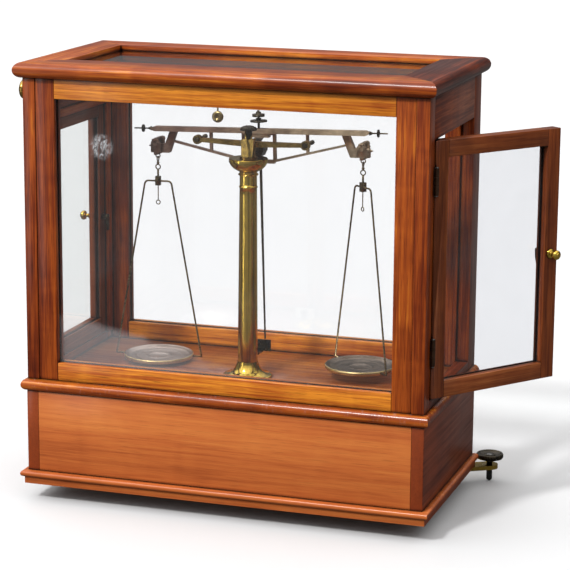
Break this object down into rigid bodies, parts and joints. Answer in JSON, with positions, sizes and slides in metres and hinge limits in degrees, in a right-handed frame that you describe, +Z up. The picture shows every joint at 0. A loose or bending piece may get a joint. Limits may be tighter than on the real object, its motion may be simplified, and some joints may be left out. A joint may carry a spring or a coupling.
{
  "type": "apothecary scale",
  "caption": "Equal-arm beam balance with hanging pans in a glazed wooden case that has hinged side doors, an arrest lift, a rider rod and levelling screws.",
  "frame": {"origin": "centre of the fixed foot's bottom, on the table, under the rear middle of the case", "axes": "+X to the right seen from the column's side, +Y towards the side that has the levelling screws, +Z up"},
  "size_m": [0.5492, 0.2332, 0.434],
  "materials": {
    "mahogany": "french polished",
    "polished_deck": "gloss, worn round the column",
    "pane_glass": "clear, slightly dusty",
    "bright_brass": "polished, mellowed",
    "dark_brass": "dark oxidised",
    "steel": "satin",
    "beam_bronze": "dull bronzed lacquer",
    "agate": "polished",
    "pan_brass": "satin, greyed",
    "scale_ivory": "aged ivory"
  },
  "bodies": {
    "case": {"base_board": "mahogany", "plinth_ends": "mahogany", "plinth_panels": "mahogany", "deck": "polished_deck", "corner_posts": "mahogany", "window_frames": "mahogany", "window_glass": "pane_glass", "side_rails": "mahogany", "door_stops": "mahogany", "top_frame": "mahogany", "top_glass": "pane_glass", "hinge_post_leaves": "dark_brass", "hinge_pins": "steel", "column_foot": "bright_brass", "column_shaft": "bright_brass", "column_capital": "bright_brass", "column_head": "bright_brass", "arrest_arms": "bright_brass", "arrest_pins": "dark_brass", "shaft_bearings": "bright_brass", "scale_plate": "scale_ivory", "scale_bracket": "dark_brass", "levelling_brackets": "bright_brass", "rear_foot": "dark_brass", "case_screws": "steel"},
    "right_door": {"right_door_frame": "mahogany", "right_door_glass": "pane_glass", "right_hinge_leaves": "dark_brass"},
    "left_door": {"left_door_frame": "mahogany", "left_door_glass": "pane_glass", "left_hinge_leaves": "dark_brass"},
    "right_catch": {"right_door_catch": "bright_brass"},
    "left_catch": {"left_door_catch": "bright_brass"},
    "arrest_spindle": {"arrest_shaft": "steel", "arrest_knob": "bright_brass"},
    "lift": {"lift_rod": "steel", "bearing_bracket": "dark_brass", "bearing_agate": "agate"},
    "beam": {"beam": "beam_bronze", "knife_edges": "steel", "adjusting_rods": "dark_brass", "pointer": "dark_brass"},
    "sensitivity_nuts": {"sensitivity_nuts": "dark_brass"},
    "left_poising_nut": {"left_poising_nut": "dark_brass"},
    "right_poising_nut": {"right_poising_nut": "dark_brass"},
    "left_stirrup": {"left_stirrup": "beam_bronze"},
    "right_stirrup": {"right_stirrup": "beam_bronze"},
    "left_hook": {"left_hook": "dark_brass"},
    "right_hook": {"right_hook": "dark_brass"},
    "left_bow": {"left_bow": "dark_brass", "left_pan": "pan_brass"},
    "right_bow": {"right_bow": "dark_brass", "right_pan": "pan_brass"},
    "rider_bush": {"rider_bush": "bright_brass"},
    "rider_rod": {"rider_rod": "bright_brass", "rider_carrier": "bright_brass"},
    "left_levelling_screw": {"left_levelling_screw": "steel"},
    "right_levelling_screw": {"right_levelling_screw": "steel"},
    "left_levelling_wheel": {"left_levelling_wheel": "dark_brass"},
    "right_levelling_wheel": {"right_levelling_wheel": "dark_brass"}
  },
  "joints": [
    {"name": "right_door_hinge", "type": "hinge", "parent": "case", "child": "right_door", "pos_m": [0.2024, -0.0456, 0.25], "axis": [0, 0, -1], "range_deg": [-36.5, 83.5]},
    {"name": "left_door_hinge", "type": "hinge", "parent": "case", "child": "left_door", "pos_m": [-0.2024, -0.0456, 0.25], "axis": [0, 0, 1], "range_deg": [0, 120]},
    {"name": "right_catch_turn", "type": "hinge", "parent": "right_door", "child": "right_catch", "pos_m": [0.28797, 0.07004, 0.2565], "axis": [0.8039, -0.5948, 0], "range_deg": [-90, 90]},
    {"name": "left_catch_turn", "type": "hinge", "parent": "left_door", "child": "left_catch", "pos_m": [-0.2, 0.09825, 0.2565], "axis": [-1, 0, 0], "range_deg": [-90, 90]},
    {"name": "arrest_turn", "type": "hinge", "parent": "case", "child": "arrest_spindle", "pos_m": [0, 0.015, 0.071], "axis": [0, 1, 0], "range_deg": [0, 90]},
    {"name": "arrest_lift", "type": "slide", "parent": "case", "child": "lift", "axis": [0, 0, 1], "range_m": [-0.0014, 0]},
    {"name": "beam_tilt", "type": "hinge", "parent": "lift", "child": "beam", "pos_m": [0, 0.047, 0.3519], "axis": [0, 1, 0], "range_deg": [-0.2, 3.8]},
    {"name": "sensitivity_slide", "type": "slide", "parent": "beam", "child": "sensitivity_nuts", "axis": [-0.0314, 0, 0.9995], "range_m": [-0.006, 0.0013]},
    {"name": "left_poising_slide", "type": "slide", "parent": "beam", "child": "left_poising_nut", "axis": [-0.9995, 0, -0.0314], "range_m": [-0.003, 0.007]},
    {"name": "right_poising_slide", "type": "slide", "parent": "beam", "child": "right_poising_nut", "axis": [0.9995, 0, 0.0314], "range_m": [-0.003, 0.007]},
    {"name": "left_stirrup_swing", "type": "hinge", "parent": "beam", "child": "left_stirrup", "pos_m": [-0.10595, 0.047, 0.34857], "axis": [0, 1, 0], "range_deg": [-3.9, 0.3]},
    {"name": "right_stirrup_swing", "type": "hinge", "parent": "beam", "child": "right_stirrup", "pos_m": [0.10595, 0.047, 0.35523], "axis": [0, 1, 0], "range_deg": [-3.9, 0.3]},
    {"name": "left_hook_swing", "type": "hinge", "parent": "left_stirrup", "child": "left_hook", "pos_m": [-0.10595, 0.047, 0.33102], "axis": [0, 1, 0], "range_deg": [-1.8, 1.8]},
    {"name": "right_hook_swing", "type": "hinge", "parent": "right_stirrup", "child": "right_hook", "pos_m": [0.10595, 0.047, 0.33768], "axis": [0, 1, 0], "range_deg": [-1.8, 1.8]},
    {"name": "left_bow_swivel", "type": "hinge", "parent": "left_hook", "child": "left_bow", "pos_m": [-0.10595, 0.047, 0.30957], "axis": [0, 0, 1], "continuous": true},
    {"name": "right_bow_swivel", "type": "hinge", "parent": "right_hook", "child": "right_bow", "pos_m": [0.10595, 0.047, 0.31623], "axis": [0, 0, 1], "continuous": true},
    {"name": "rider_turn", "type": "hinge", "parent": "case", "child": "rider_bush", "pos_m": [-0.2, 0.047, 0.392], "axis": [1, 0, 0], "range_deg": [-90, 90]},
    {"name": "rider_slide", "type": "slide", "parent": "rider_bush", "child": "rider_rod", "axis": [1, 0, 0], "range_m": [-0.025, 0.026]},
    {"name": "left_levelling_slide", "type": "slide", "parent": "case", "child": "left_levelling_screw", "axis": [0, 0, 1], "range_m": [-0.002, 0.002]},
    {"name": "right_levelling_slide", "type": "slide", "parent": "case", "child": "right_levelling_screw", "axis": [0, 0, 1], "range_m": [-0.002, 0.002]},
    {"name": "left_levelling_turn", "type": "hinge", "parent": "left_levelling_screw", "child": "left_levelling_wheel", "pos_m": [-0.2158, 0.147, 0.026], "axis": [0, 0, 1], "range_deg": [-719, 719]},
    {"name": "right_levelling_turn", "type": "hinge", "parent": "right_levelling_screw", "child": "right_levelling_wheel", "pos_m": [0.2158, 0.147, 0.026], "axis": [0, 0, 1], "range_deg": [-719, 719]}
  ],
  "couplings": [
    {"joint": "arrest_turn", "follows": "arrest_lift", "rad_per_m": -1121.9},
    {"joint": "left_stirrup_swing", "follows": "beam_tilt", "ratio": -1},
    {"joint": "right_stirrup_swing", "follows": "beam_tilt", "ratio": -1},
    {"joint": "left_levelling_slide", "follows": "left_levelling_turn", "m_per_rad": 0.00015915},
    {"joint": "right_levelling_slide", "follows": "right_levelling_turn", "m_per_rad": 0.00015915}
  ]
}
